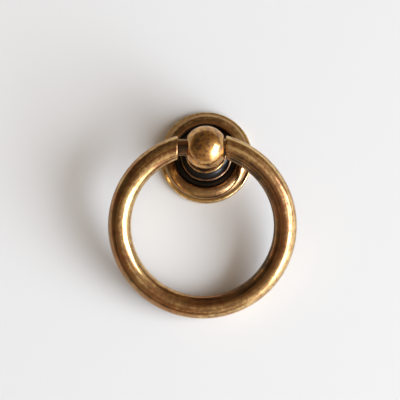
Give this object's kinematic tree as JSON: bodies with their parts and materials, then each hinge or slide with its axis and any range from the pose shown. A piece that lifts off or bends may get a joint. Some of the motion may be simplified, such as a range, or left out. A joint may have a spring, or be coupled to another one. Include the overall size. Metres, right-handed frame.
{
  "type": "ring pull handle",
  "caption": "Aged brass ring pull: a split ring swings on spigots in a ball-headed turned post that stands in a stepped round backplate.",
  "frame": {"origin": "centre of the backplate's back face, at the mouth of the fixing thread", "axes": "+Z along the post, away from the mounting surface; the hinge line is parallel to X; the ring lies towards -Y"},
  "size_m": [0.0499, 0.0564, 0.0222],
  "materials": {
    "aged_brass": "dark patina in the hollows, rubbed bright on the high places"
  },
  "bodies": {
    "base": {"backplate": "aged_brass", "ball_post": "aged_brass"},
    "ring": {"ring": "aged_brass"}
  },
  "joints": [
    {"name": "ring_swing", "type": "hinge", "parent": "base", "child": "ring", "pos_m": [0, 0, 0.0165], "axis": [-1, 0, 0], "range_deg": [0, 216.4]}
  ]
}
